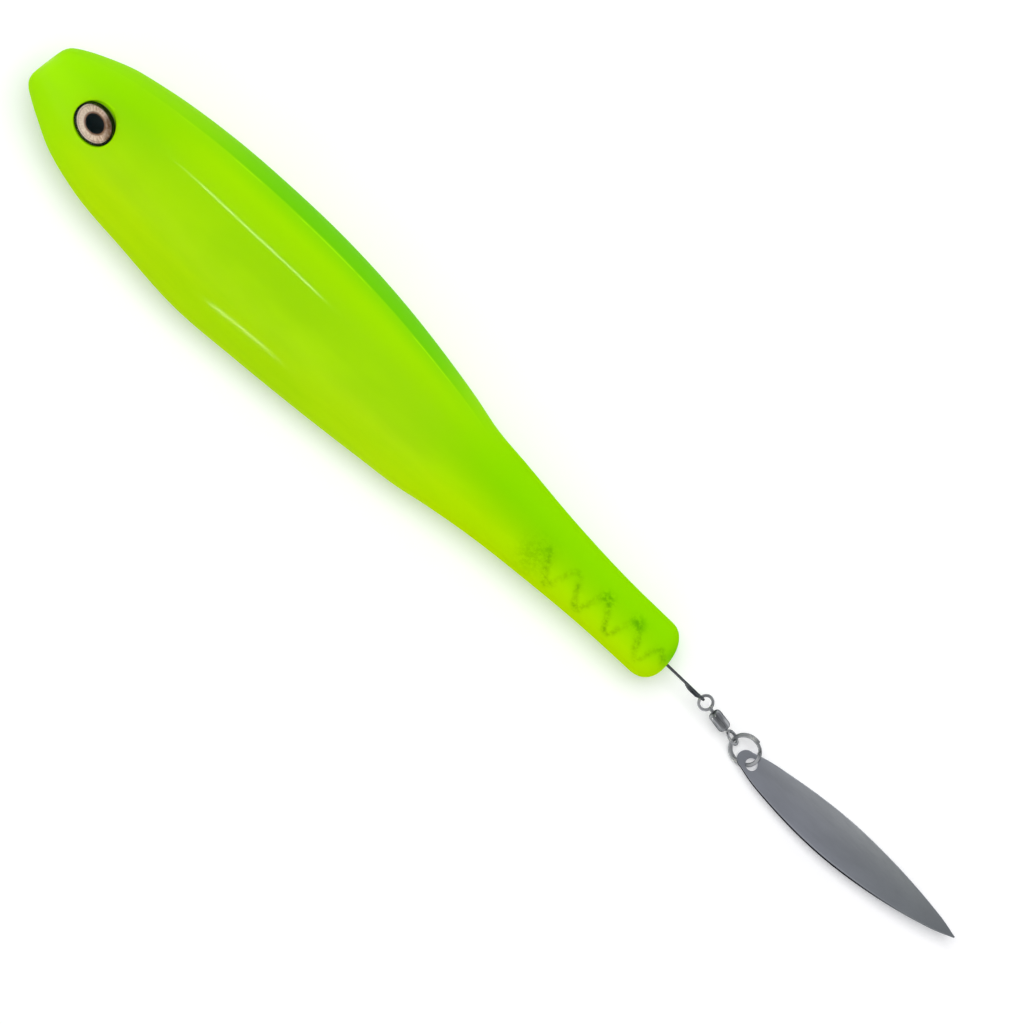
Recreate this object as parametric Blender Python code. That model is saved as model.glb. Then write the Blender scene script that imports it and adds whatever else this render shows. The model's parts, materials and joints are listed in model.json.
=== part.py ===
"""Soft-bodied tail-spinner lure, lying on its right side on a table.

The soft body carries two stick-on eyes and a corkscrew wire in its tail. The wire's loop holds a barrel
swivel, the swivel holds a split ring, and the ring holds a willow-leaf blade. Units are metres. +X runs
from nose to tail, +Y towards the back of the fish and +Z up from the table, out of its left side.
"""

import math

import bmesh
import bpy
import numpy as np
from mathutils import Matrix, Vector

MM = 0.001
GAP = 0.3 * MM  # left between pieces that lie against each other

# How the lure rests: the body leans on its right flank, back raised, with its tail touching the table.
REST_ROLL = math.radians(15)
REST_PITCH = math.radians(2.4)
NOSE_HEIGHT = 13.8 * MM
REST_FLAT = 0.4 * MM  # how far the soft body is pressed in where it touches the table

# Soft body, in its own frame: x from the nose, y towards the back, z towards the left side.
BODY_LENGTH = 177.3 * MM
TAIL_DOME = 5.2 * MM
TAIL_DOME_STEPS = 6
TAIL_FLAT = 0.1  # share of the tail's size that the dome ends in
NOSE_LEAN = 0.162  # the flat nose is cut back by this share of its height
NOSE_LEAN_END = 15 * MM
BODY_SIDES = 36
BODY_RINGS = 34
RING_CROWDING = 1.35  # above 1, the rings stand closer together towards the nose
# x, back height, belly depth, half width at mid-height, wedge (how much the back is wider), millimetres
BODY_STATIONS = (
    (0.4, 5.9, 3.5, 3.6, 0.15),
    (1.5, 6.9, 4.9, 4.6, 0.22),
    (4, 8.4, 6.7, 5.8, 0.32),
    (8, 10.2, 9.1, 7.0, 0.38),
    (13, 12.0, 11.9, 8.1, 0.42),
    (21.5, 14.0, 14.5, 9.4, 0.42),
    (38, 16.3, 16.5, 11.0, 0.42),
    (54, 17.2, 17.8, 11.5, 0.40),
    (70, 17.2, 16.9, 11.5, 0.40),
    (87, 16.0, 15.5, 10.8, 0.36),
    (103, 13.7, 13.8, 9.7, 0.30),
    (111.5, 12.1, 12.8, 9.1, 0.25),
    (119, 10.4, 11.3, 8.5, 0.20),
    (128, 9.4, 9.8, 8.0, 0.14),
    (144, 7.6, 8.1, 7.3, 0.06),
    (160, 6.6, 7.0, 6.8, 0),
    (173.5, 6.5, 6.7, 6.6, 0),
)

# Stick-on eyes: a glue pad, a printed foil and a clear dome, stacked in a round socket.
EYE_RADIUS = 4.75 * MM
EYE_X = 16.1 * MM
EYE_Y = 0.7 * MM
EYE_TILT = math.radians(24)  # from square to the side, towards the belly
EYE_TOE_IN = math.radians(9)  # towards the nose
SOCKET_DEPTH = 1.8 * MM
SOCKET_CUT_HEIGHT = 6 * MM  # clears the flank all round the socket
PAD_THICK = 0.3 * MM
FOIL_THICK = 0.2 * MM
DOME_EDGE = 0.45 * MM
DOME_RISE = 1.5 * MM
DOME_STEPS = 6
EYE_SEGMENTS = 40

# Tail screw, one wire: a corkscrew in the tail, a shank, and a closed loop whose end lies by the shank.
WIRE_RADIUS = 0.3 * MM
EXIT_Y = -0.6 * MM  # where the wire leaves the tail, from the body's axis
COIL_RADIUS = 3.35 * MM
COIL_PITCH = 7.98 * MM
COIL_TURNS = 4.1
COIL_RUNOUT_TURNS = 0.45  # the last part turn, which closes in on the shank
COIL_END = 1.2 * MM  # from there to the tail's end
COIL_PHASE = math.radians(35)
COIL_TILT = math.radians(5)  # its front end lies nearer the belly
COIL_POINTS_PER_TURN = 18
LOOP_RADIUS = 1.05 * MM
LOOP_CENTRE = 9.3 * MM  # aft of the tail's end
LOOP_WRAP = math.radians(120)  # the loop leaves and meets the shank this far round
LOOP_STEPS = 12  # over that angle
TAG_LENGTH = 0.7 * MM
TAG_OFFSET = 0.75 * MM
TAG_SHARE_OF_LOOP = 0.4  # share of that offset which the loop's second half takes up

# Barrel swivel. Each eye is a ring on a stem, with a head inside the barrel.
SWIVEL_DROOP = math.radians(14.8)  # down from the shank
SWIVEL_YAW = math.radians(-8.5)  # towards the belly
RING_WIRE = 0.3 * MM
RING_RADIUS = 1.5 * MM
RING_HANG = 0.8 * MM  # from the loop's wire to the front ring's centre
BARREL_FRONT = 2.66 * MM  # from the front ring's centre
BARREL_LENGTH = 4.4 * MM
BARREL_RADIUS = 1.38 * MM
BARREL_FACE = 0.78 * MM  # radius of its flat ends
BARREL_CRIMP = 0.55 * MM  # length of the crimped cone at each end
BARREL_SHOULDER = 0.35 * MM  # length over which the cone rounds into the tube
BARREL_SHOULDER_DROP = 0.12 * MM
BARREL_MOUTH = 0.5 * MM
BARREL_BORE = 0.98 * MM
BARREL_WALL = 0.55 * MM  # at its two ends
STEM_RADIUS = 0.35 * MM
HEAD_RADIUS = 0.78 * MM
HEAD_LENGTH = 0.9 * MM
HEAD_CHAMFER = 0.18 * MM
HEAD_CLEARANCE = 0.35 * MM
REAR_RING = 9.46 * MM  # rear ring's centre from the front one's
ROUND_SEGMENTS = 28

# Split ring: a wire coiled twice, which lies tilted with its side towards the back raised.
SPLIT_RADIUS = 3.22 * MM
SPLIT_WIRE = 0.27 * MM
SPLIT_PITCH = 0.62 * MM
SPLIT_TURNS = 1.9
SPLIT_START = math.radians(75)
SPLIT_TILT = math.radians(30)
SPLIT_POINTS_PER_TURN = 40
SPLIT_HANG = 0.45 * MM  # from the rear ring's centre to where the split ring's wire passes through it

# Willow-leaf blade, hollow side up, in its own frame: x from the hole to the tip, z up.
BLADE_THICK = 0.4 * MM
BLADE_END_RADIUS = 2.0 * MM
BLADE_HOLE = 1.45 * MM
BLADE_HOLE_FROM_END = 3.5 * MM
BLADE_BOW_RADIUS = 180 * MM
BLADE_CUP_RADIUS = 17 * MM
BLADE_LOWEST = 15.8 * MM  # from the hole, along the bow
BLADE_ON_RING = math.radians(-26)  # where it hangs on the split ring, round from straight aft
BLADE_SLACK = 0.1 * MM  # hole's centre past the split ring's wire
BLADE_YAW = math.radians(2.3)
BLADE_ROLL = math.radians(-15)  # edge towards the belly raised
# distance from the blunt end and half width there, millimetres
BLADE_OUTLINE = (
    (2.0, 2.0),
    (5.3, 2.9),
    (11.6, 3.9),
    (17.4, 4.55),
    (26, 4.95),
    (36, 4.45),
    (44, 3.46),
    (50.3, 2.3),
    (54.5, 1.3),
    (58, 0.12),
)
BLADE_END_ANGLES = (12, 32, 52, 71)  # columns round the blunt end, degrees
BLADE_COLUMNS = 30
BLADE_ROWS = 8


def clear_scene():
    for obj in list(bpy.data.objects):
        bpy.data.objects.remove(obj)


def new_material(name, colour, metallic=0.0, roughness=0.4, transmission=0.0):
    material = bpy.data.materials.new(name)
    material.use_nodes = True
    shader = material.node_tree.nodes["Principled BSDF"]
    shader.inputs["Base Color"].default_value = (*colour, 1)
    shader.inputs["Metallic"].default_value = metallic
    shader.inputs["Roughness"].default_value = roughness
    shader.inputs["Transmission Weight"].default_value = transmission
    return material


def smooth(xs, ys, at):
    """Cubic curve through a table's points, read at each position in at."""
    slopes = np.gradient(ys, xs)
    i = np.clip(np.searchsorted(xs, at) - 1, 0, len(xs) - 2)
    span = xs[i + 1] - xs[i]
    t = (at - xs[i]) / span
    start = (1 + 2 * t) * (1 - t) ** 2 * ys[i] + t * (1 - t) ** 2 * span * slopes[i]
    end = t**2 * (3 - 2 * t) * ys[i + 1] - t**2 * (1 - t) * span * slopes[i + 1]
    return start + end


def add_object(name, mesh, material=None):
    obj = bpy.data.objects.new(name, mesh)
    bpy.context.scene.collection.objects.link(obj)
    if material:
        mesh.materials.append(material)
    mesh.shade_smooth()
    mesh.set_sharp_from_angle(angle=math.radians(40))
    return obj


def mesh_from(name, points, faces):
    mesh = bpy.data.meshes.new(name)
    mesh.from_pydata([tuple(p) for p in points], [], faces)
    return mesh


def lofted(name, rings, material):
    """A closed skin through rings of equally many points, with a flat face on each end ring."""
    sides = len(rings[0])
    points = [p for ring in rings for p in ring]
    faces = [tuple(range(sides))[::-1]]
    for first in range(0, (len(rings) - 1) * sides, sides):
        for i in range(sides):
            j = (i + 1) % sides
            faces.append((first + i, first + j, first + sides + j, first + sides + i))
    faces.append(tuple(range(len(points) - sides, len(points))))
    mesh = mesh_from(name, points, faces)
    outward = bmesh.new()
    outward.from_mesh(mesh)
    bmesh.ops.recalc_face_normals(outward, faces=outward.faces)
    outward.to_mesh(mesh)
    outward.free()
    return add_object(name, mesh, material)


def turned(name, profile, material, segments, hollow=False):
    """A profile of (radius, height) points turned about z. A hollow one is a closed outline off the axis."""
    shape = bmesh.new()
    line = [shape.verts.new((radius, 0, height)) for radius, height in profile]
    edges = [shape.edges.new(pair) for pair in zip(line, line[1:])]
    if hollow:
        edges.append(shape.edges.new((line[-1], line[0])))
    bmesh.ops.spin(
        shape, geom=line + edges, axis=(0, 0, 1), cent=(0, 0, 0), angle=2 * math.pi, steps=segments
    )
    bmesh.ops.remove_doubles(shape, verts=shape.verts, dist=1e-6)
    bmesh.ops.recalc_face_normals(shape, faces=shape.faces)
    mesh = bpy.data.meshes.new(name)
    shape.to_mesh(mesh)
    shape.free()
    return add_object(name, mesh, material)


def tube(name, points, radius, material=None, closed=False):
    """A round wire along a line of points, as a mesh."""
    curve = bpy.data.curves.new(name + "_line", "CURVE")
    curve.dimensions = "3D"
    curve.bevel_depth = radius
    curve.bevel_resolution = 2
    curve.use_fill_caps = not closed
    spline = curve.splines.new("POLY")
    spline.points.add(len(points) - 1)
    for point, place in zip(spline.points, points):
        point.co = (*place, 1)
    spline.use_cyclic_u = closed
    guide = bpy.data.objects.new(name + "_line", curve)
    bpy.context.scene.collection.objects.link(guide)
    graph = bpy.context.evaluated_depsgraph_get()
    mesh = bpy.data.meshes.new_from_object(guide.evaluated_get(graph))
    bpy.data.objects.remove(guide)
    bpy.data.curves.remove(curve)
    shape = bmesh.new()
    shape.from_mesh(mesh)
    bmesh.ops.remove_doubles(shape, verts=shape.verts, dist=1e-6)
    bmesh.ops.recalc_face_normals(shape, faces=shape.faces)
    shape.to_mesh(mesh)
    shape.free()
    mesh.name = name
    return add_object(name, mesh, material)


def combine(target, helper, operation):
    """Joins a helper shape to the target, or cuts it away. The helper isn't part of the object."""
    helper.hide_render = True
    helper.display_type = "WIRE"
    modifier = target.modifiers.new(helper.name, "BOOLEAN")
    modifier.operation = operation
    modifier.solver = "EXACT"
    modifier.object = helper


def place(obj, frame, parent):
    """Puts an object at a world frame under its parent. A parent's own frame is set first."""
    obj.parent = parent
    bpy.context.view_layer.update()
    obj.matrix_world = frame
    bpy.context.view_layer.update()


def add_empty(name, frame, parent=None):
    empty = bpy.data.objects.new(name, None)
    empty.empty_display_size = 5 * MM
    bpy.context.scene.collection.objects.link(empty)
    place(empty, frame, parent)
    return empty


def frame_at(origin, x_axis, z_axis):
    """A frame at a point, from its x axis and a direction that its z axis comes close to."""
    x = Vector(x_axis).normalized()
    y = Vector(z_axis).cross(x).normalized()
    z = x.cross(y)
    frame = Matrix((x, y, z)).transposed().to_4x4()
    frame.translation = origin
    return frame


def offset(x, y=0.0, z=0.0):
    return Matrix.Translation((x, y, z))


def turn(angle, axis):
    return Matrix.Rotation(angle, 4, axis)


# Soft body


def body_size(x):
    """Back height, belly depth, half width and wedge of the body at x."""
    table = np.array(BODY_STATIONS)
    back, belly, half_width, wedge = (smooth(table[:, 0] * MM, table[:, k], x) for k in range(1, 5))
    return back * MM, belly * MM, half_width * MM, wedge


def body_point(x, angle, share=1.0):
    """A point of the body's skin, where the angle runs round from the left side over the back."""
    back, belly, half_width, wedge = body_size(x)
    middle = (back - belly) / 2
    y = middle + share * (back + belly) / 2 * math.sin(angle)
    z = share * half_width * math.cos(angle) * (1 + wedge * math.sin(angle))
    lean = NOSE_LEAN * max(0.0, 1 - x / NOSE_LEAN_END)
    return x + lean * y, y, z


def body_ring(x, share=1.0, shift=0.0):
    angles = np.linspace(0, 2 * math.pi, BODY_SIDES, endpoint=False)
    ring = [body_point(x, angle, share) for angle in angles]
    return [(px + shift, py, pz) for px, py, pz in ring]


def press_flat(rings, frame):
    """Flattens the underside, as the body's own weight does, and gives the rings back."""
    up = Vector(frame.row[2][:3])
    heights = [[up.dot(point) for point in ring] for ring in rings]
    table = min(map(min, heights)) + REST_FLAT
    return [
        [Vector(point) + max(0.0, table - height) * up for point, height in zip(ring, ring_heights)]
        for ring, ring_heights in zip(rings, heights)
    ]


def make_body(frame, material):
    first = BODY_STATIONS[0][0] * MM
    dome_start = BODY_LENGTH - TAIL_DOME
    along = first + (dome_start - first) * np.linspace(0, 1, BODY_RINGS) ** RING_CROWDING
    rings = [body_ring(x) for x in along]
    for angle in np.linspace(0, math.pi / 2, TAIL_DOME_STEPS + 1)[1:]:
        rings.append(body_ring(dome_start, max(TAIL_FLAT, math.cos(angle)), TAIL_DOME * math.sin(angle)))
    return lofted("soft_body", press_flat(rings, frame), material)


# Eyes


def eye_frame(side):
    """The eye's frame in the body's: z out of the socket, origin on the flank. side is 1 left, -1 right."""
    back, belly, half_width, wedge = body_size(EYE_X)
    rise = math.asin((EYE_Y - (back - belly) / 2) / ((back + belly) / 2))
    surface = body_point(EYE_X, rise)
    out = Vector(
        (
            -math.sin(EYE_TOE_IN),
            -math.sin(EYE_TILT) * math.cos(EYE_TOE_IN),
            side * math.cos(EYE_TILT) * math.cos(EYE_TOE_IN),
        )
    )
    origin = Vector((surface[0], surface[1], side * surface[2]))
    return frame_at(origin, out.cross((0, side, 0)), out)


def disc_profile(radius, low, high):
    return (0, low), (radius, low), (radius, high), (0, high)


def make_eye(side_name, side, body, body_frame, materials):
    frame = body_frame @ eye_frame(side)
    socket_radius = EYE_RADIUS + GAP
    socket = turned(
        side_name + "_socket_cutter",
        disc_profile(socket_radius, -SOCKET_DEPTH, SOCKET_CUT_HEIGHT),
        None,
        EYE_SEGMENTS,
    )
    place(socket, frame, body.parent)
    combine(body, socket, "DIFFERENCE")

    pad_low = GAP - SOCKET_DEPTH
    foil_low = pad_low + PAD_THICK + GAP
    dome_low = foil_low + FOIL_THICK + GAP
    dome_sphere = (EYE_RADIUS**2 + DOME_RISE**2) / (2 * DOME_RISE)
    half_angle = math.asin(EYE_RADIUS / dome_sphere)
    crown = dome_low + DOME_EDGE + DOME_RISE - dome_sphere
    dome = [(0, dome_low), (EYE_RADIUS, dome_low)]
    for step in range(DOME_STEPS):
        angle = half_angle * (1 - step / DOME_STEPS)
        dome.append((dome_sphere * math.sin(angle), crown + dome_sphere * math.cos(angle)))
    dome.append((0, crown + dome_sphere))
    layers = (
        ("pad", disc_profile(EYE_RADIUS - GAP, pad_low, pad_low + PAD_THICK)),
        ("foil", disc_profile(EYE_RADIUS, foil_low, foil_low + FOIL_THICK)),
        ("dome", dome),
    )
    for layer, profile in layers:
        piece = turned(f"{side_name}_eye_{layer}", profile, materials[layer], EYE_SEGMENTS)
        place(piece, frame, body.parent)


# Tail screw


def coil_points():
    """The corkscrew, from its front tip back to where it has closed in on the shank."""
    count = round(COIL_TURNS * COIL_POINTS_PER_TURN)
    length = COIL_TURNS * COIL_PITCH
    tilt = turn(COIL_TILT, "Z")
    points = []
    for i in range(count + 1):
        turns_left = COIL_TURNS * (1 - i / count)
        closing = min(1.0, turns_left / COIL_RUNOUT_TURNS)
        radius = COIL_RADIUS * math.sin(closing * math.pi / 2)
        angle = COIL_PHASE - 2 * math.pi * turns_left
        x = -COIL_END - length * turns_left / COIL_TURNS
        points.append(tilt @ Vector((x, radius * math.cos(angle), radius * math.sin(angle))))
    return points


def loop_points():
    """The shank, the upright loop at its end, and the wire's tag end beside the shank."""
    knee = LOOP_RADIUS / math.cos(LOOP_WRAP)
    points = [Vector((x * MM, 0, 0)) for x in (0, 3, 6)]
    points.append(Vector((LOOP_CENTRE + knee, 0, 0)))
    for step in range(2 * LOOP_STEPS + 1):
        angle = LOOP_WRAP * (1 - step / LOOP_STEPS)
        below = max(0.0, -angle / LOOP_WRAP)
        x = LOOP_CENTRE + LOOP_RADIUS * math.cos(angle)
        y = -TAG_SHARE_OF_LOOP * TAG_OFFSET * below**2
        points.append(Vector((x, y, LOOP_RADIUS * math.sin(angle))))
    points.append(Vector((LOOP_CENTRE + knee, -TAG_OFFSET, 0)))
    points.append(Vector((LOOP_CENTRE + knee - TAG_LENGTH, -TAG_OFFSET, 0)))
    return points


def make_tail_screw(body, frame, material):
    wire = coil_points() + loop_points()
    place(tube("tail_screw", wire, WIRE_RADIUS, material), frame, body.parent)
    channel = coil_points() + [Vector((x * MM, 0, 0)) for x in (0, 4)]
    tip = (channel[0] - channel[1]).normalized() * GAP
    channel.insert(0, channel[0] + tip)
    cutter = tube("channel_cutter", channel, WIRE_RADIUS + GAP)
    place(cutter, frame, body.parent)
    combine(body, cutter, "DIFFERENCE")


# Barrel swivel


def circle_points(centre, radius, count):
    steps = (2 * math.pi * i / count for i in range(count))
    return [Vector((centre + radius * math.cos(a), radius * math.sin(a), 0)) for a in steps]


def make_swivel_eye(name, frame, parent, centre, stem_end, material):
    """A ring centred on x, and a stem from it to stem_end with a head on the end."""
    eye = tube(name, circle_points(centre, RING_RADIUS, ROUND_SEGMENTS), RING_WIRE, material, True)
    way = math.copysign(1, stem_end - centre)
    stem_start = centre + way * RING_RADIUS
    length = abs(stem_end - stem_start)
    shoulder = length - HEAD_LENGTH
    profile = (
        (0, 0),
        (STEM_RADIUS, 0),
        (STEM_RADIUS, shoulder),
        (HEAD_RADIUS, shoulder + HEAD_CHAMFER),
        (HEAD_RADIUS, length - HEAD_CHAMFER),
        (STEM_RADIUS, length),
        (0, length),
    )
    stem = turned(name + "_stem", profile, None, 16)
    stem.data.transform(offset(stem_start) @ turn(way * math.pi / 2, "Y"))
    place(eye, frame, parent)
    place(stem, frame, parent)
    combine(eye, stem, "UNION")
    return eye


def make_barrel(frame, parent, material):
    """A crimped tube with a mouth at each end, x along the swivel from its front face."""
    half = (
        (BARREL_BORE, BARREL_WALL + BARREL_SHOULDER),
        (BARREL_MOUTH, BARREL_WALL),
        (BARREL_MOUTH, 0),
        (BARREL_FACE, 0),
        (BARREL_RADIUS - BARREL_SHOULDER_DROP, BARREL_CRIMP),
        (BARREL_RADIUS, BARREL_CRIMP + BARREL_SHOULDER),
    )
    profile = half + tuple((radius, BARREL_LENGTH - x) for radius, x in reversed(half))
    barrel = turned("swivel_barrel", profile, material, ROUND_SEGMENTS, hollow=True)
    barrel.data.transform(turn(math.pi / 2, "Y"))
    place(barrel, frame, parent)
    return barrel


# Split ring


def make_split_ring(frame, centre, parent, material):
    """Two coils of wire about z; the frame's origin is the joint, and centre is the ring's in it."""
    count = round(SPLIT_TURNS * SPLIT_POINTS_PER_TURN)
    points = []
    for i in range(count + 1):
        angle = SPLIT_START + 2 * math.pi * SPLIT_TURNS * i / count
        height = SPLIT_PITCH * SPLIT_TURNS * (i / count - 0.5)
        points.append(
            centre + Vector((SPLIT_RADIUS * math.cos(angle), SPLIT_RADIUS * math.sin(angle), height))
        )
    ring = tube("split_ring", points, SPLIT_WIRE, material)
    place(ring, frame, parent)
    return ring


# Blade


def blade_outline():
    """Distance from the blunt end and half width, along the blade."""
    table = np.array(BLADE_OUTLINE) * MM
    ends = []
    for angle in np.radians(BLADE_END_ANGLES):
        ends.append((BLADE_END_RADIUS * (1 - math.cos(angle)), BLADE_END_RADIUS * math.sin(angle)))
    spread = np.linspace(0, 1, BLADE_COLUMNS)
    along = table[0, 0] + (table[-1, 0] - table[0, 0]) * spread
    widths = smooth(table[:, 0], table[:, 1], along)
    return ends + list(zip(along, widths))


def blade_bowl(x, y):
    """Height of the blade's middle surface over its lowest point."""
    along = x - BLADE_LOWEST
    return along**2 / (2 * BLADE_BOW_RADIUS) + y**2 / (2 * BLADE_CUP_RADIUS)


def make_blade(frame, hole, parent, material):
    """The blade about its joint's frame; hole is the hole's frame in it."""
    base = blade_bowl(0, 0)
    rings = []
    for distance, half_width in blade_outline():
        x = distance - BLADE_HOLE_FROM_END
        ys = np.linspace(-half_width, half_width, BLADE_ROWS)
        over = [(x, y, blade_bowl(x, y) - base + BLADE_THICK / 2) for y in ys]
        under = [(x, y, blade_bowl(x, y) - base - BLADE_THICK / 2) for y in reversed(ys)]
        rings.append(over + under)
    blade = lofted("willow_blade", rings, material)
    blade.data.transform(hole)
    cutter = turned("blade_hole_cutter", disc_profile(BLADE_HOLE, -2 * MM, 2 * MM), None, ROUND_SEGMENTS)
    cutter.data.transform(hole)
    place(blade, frame, parent)
    place(cutter, frame, parent)
    combine(blade, cutter, "DIFFERENCE")
    return blade


# Assembly


def make_chain(shank_frame, parent, metals):
    """The swivel, the split ring and the blade, each at its joint with the piece before it."""
    droop = turn(SWIVEL_DROOP, "Y")
    on_loop = offset(LOOP_CENTRE) @ droop @ offset(LOOP_RADIUS)
    front_frame = shank_frame @ on_loop @ turn(SWIVEL_YAW, "Z")
    barrel_start = RING_HANG + BARREL_FRONT
    barrel_end = barrel_start + BARREL_LENGTH
    front_head = barrel_start + BARREL_WALL + HEAD_CLEARANCE + HEAD_LENGTH
    front_eye = make_swivel_eye(
        "swivel_front_eye", front_frame, parent, RING_HANG, front_head, metals["swivel"]
    )
    barrel_frame = front_frame @ offset(barrel_start)
    barrel = make_barrel(barrel_frame, front_eye, metals["swivel"])

    lies = Vector((0, math.cos(SPLIT_TILT), math.sin(SPLIT_TILT)))
    swivel_axis = front_frame.to_3x3().col[0]
    rear_point = front_frame @ Vector((RING_HANG + REAR_RING, 0, 0))
    across = (lies - lies.dot(swivel_axis) * swivel_axis).normalized()
    rear_frame = frame_at(front_frame @ Vector((barrel_end, 0, 0)), swivel_axis, across)
    rear_head = BARREL_WALL + HEAD_CLEARANCE + HEAD_LENGTH
    rear_centre = RING_HANG + REAR_RING - barrel_end
    rear_eye = make_swivel_eye(
        "swivel_rear_eye", rear_frame, barrel, rear_centre, -rear_head, metals["swivel"]
    )

    ring_up = Vector((0, -math.sin(SPLIT_TILT), math.cos(SPLIT_TILT)))
    ring_centre = rear_point + SPLIT_HANG * swivel_axis + Vector((SPLIT_RADIUS, 0, 0))
    ring_frame = frame_at(rear_point + RING_RADIUS * swivel_axis, (1, 0, 0), ring_up)
    split_ring = make_split_ring(
        ring_frame, ring_frame.inverted() @ ring_centre, rear_eye, metals["ring"]
    )

    reach = math.cos(BLADE_ON_RING) * Vector((1, 0, 0)) + math.sin(BLADE_ON_RING) * lies
    blade_frame = frame_at(ring_centre + SPLIT_RADIUS * reach, reach, ring_up)
    hole_frame = (
        Matrix.Translation(ring_centre + (SPLIT_RADIUS + BLADE_SLACK) * reach)
        @ turn(BLADE_YAW, "Z")
        @ turn(BLADE_ROLL, "X")
    )
    make_blade(blade_frame, blade_frame.inverted() @ hole_frame, split_ring, metals["blade"])


def stand_on_origin(top):
    """Moves everything so that the bottom centre of its box is the origin."""
    bpy.context.view_layer.update()
    graph = bpy.context.evaluated_depsgraph_get()
    corners = []
    for obj in bpy.data.objects:
        if obj.type == "MESH" and not obj.hide_render:
            seen = obj.evaluated_get(graph)
            mesh = seen.to_mesh()
            corners += [seen.matrix_world @ v.co for v in mesh.vertices]
            seen.to_mesh_clear()
    low = np.min(corners, axis=0)
    high = np.max(corners, axis=0)
    top.location -= Vector(((low[0] + high[0]) / 2, (low[1] + high[1]) / 2, low[2]))


def main():
    clear_scene()
    rubber = new_material("soft_plastic", (0.36, 0.8, 0.01), roughness=0.18)
    eye_materials = {
        "pad": new_material("eye_adhesive", (0.85, 0.85, 0.8), roughness=0.8),
        "foil": new_material("eye_foil", (0.62, 0.45, 0.33), metallic=0.5, roughness=0.35),
        "dome": new_material("eye_dome", (0.95, 0.97, 1.0), roughness=0.05, transmission=1.0),
    }
    metals = {
        "wire": new_material("steel_wire", (0.2, 0.21, 0.23), metallic=1, roughness=0.3),
        "swivel": new_material("swivel_nickel", (0.22, 0.23, 0.25), metallic=1, roughness=0.28),
        "ring": new_material("ring_nickel", (0.24, 0.25, 0.27), metallic=1, roughness=0.28),
        "blade": new_material("blade_nickel", (0.2, 0.21, 0.24), metallic=1, roughness=0.25),
    }
    top = add_empty("lure", Matrix.Identity(4))
    body_frame = offset(0, 0, NOSE_HEIGHT) @ turn(REST_PITCH, "Y") @ turn(REST_ROLL, "X")
    body_axes = add_empty("body_axes", body_frame, top)
    body = make_body(body_frame, rubber)
    place(body, body_frame, body_axes)
    make_eye("left", 1, body, body_frame, eye_materials)
    make_eye("right", -1, body, body_frame, eye_materials)
    wire_exit = body_frame @ Vector((BODY_LENGTH, EXIT_Y, 0))
    shank_frame = Matrix.Translation(wire_exit) @ turn(REST_PITCH, "Y")
    make_tail_screw(body, shank_frame, metals["wire"])
    make_chain(shank_frame, body_axes, metals)
    stand_on_origin(top)


main()
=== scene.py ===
"""Looks for a soft-bodied tail-spinner lure that lies on its right side on a white table.

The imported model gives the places. Metres. +X runs from the nose to the tail, +Y towards the back of the
fish and +Z up, out of its left side. The body, both eyes, the wire and every link of the chain are
rebuilt as fine meshes with procedural materials. Each mesh keeps its own coordinates, in millimetres, in
the attribute "spot", which its material reads.
"""

import json
import math

import bmesh
import bpy
import numpy as np
from mathutils import Matrix, Vector

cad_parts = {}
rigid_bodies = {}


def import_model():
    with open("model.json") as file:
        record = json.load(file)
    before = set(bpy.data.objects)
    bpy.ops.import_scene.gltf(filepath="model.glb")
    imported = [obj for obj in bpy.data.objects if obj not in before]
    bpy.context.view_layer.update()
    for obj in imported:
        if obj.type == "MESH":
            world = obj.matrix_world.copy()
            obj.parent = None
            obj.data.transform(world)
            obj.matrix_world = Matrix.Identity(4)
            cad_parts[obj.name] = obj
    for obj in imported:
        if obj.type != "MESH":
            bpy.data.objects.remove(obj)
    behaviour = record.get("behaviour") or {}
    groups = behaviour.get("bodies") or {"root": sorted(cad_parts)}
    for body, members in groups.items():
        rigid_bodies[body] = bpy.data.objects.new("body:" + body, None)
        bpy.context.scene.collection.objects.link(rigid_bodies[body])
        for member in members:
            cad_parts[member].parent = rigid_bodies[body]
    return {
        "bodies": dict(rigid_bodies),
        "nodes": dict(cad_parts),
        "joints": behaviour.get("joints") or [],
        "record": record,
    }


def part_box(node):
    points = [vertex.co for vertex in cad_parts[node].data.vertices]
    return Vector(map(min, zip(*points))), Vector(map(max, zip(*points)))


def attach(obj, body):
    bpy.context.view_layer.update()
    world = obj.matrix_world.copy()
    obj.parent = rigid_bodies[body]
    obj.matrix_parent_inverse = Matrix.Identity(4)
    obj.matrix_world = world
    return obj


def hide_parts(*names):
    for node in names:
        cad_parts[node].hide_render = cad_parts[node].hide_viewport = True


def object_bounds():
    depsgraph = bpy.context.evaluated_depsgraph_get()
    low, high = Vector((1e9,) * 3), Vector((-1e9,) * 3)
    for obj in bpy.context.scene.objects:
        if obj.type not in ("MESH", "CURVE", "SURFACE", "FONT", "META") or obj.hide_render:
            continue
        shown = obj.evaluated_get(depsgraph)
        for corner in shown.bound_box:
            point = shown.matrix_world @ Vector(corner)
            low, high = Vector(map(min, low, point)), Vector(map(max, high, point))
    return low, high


MM = 0.001

# How the lure lies, as in the model.
REST_ROLL = math.radians(15)
REST_PITCH = math.radians(2.4)

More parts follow.
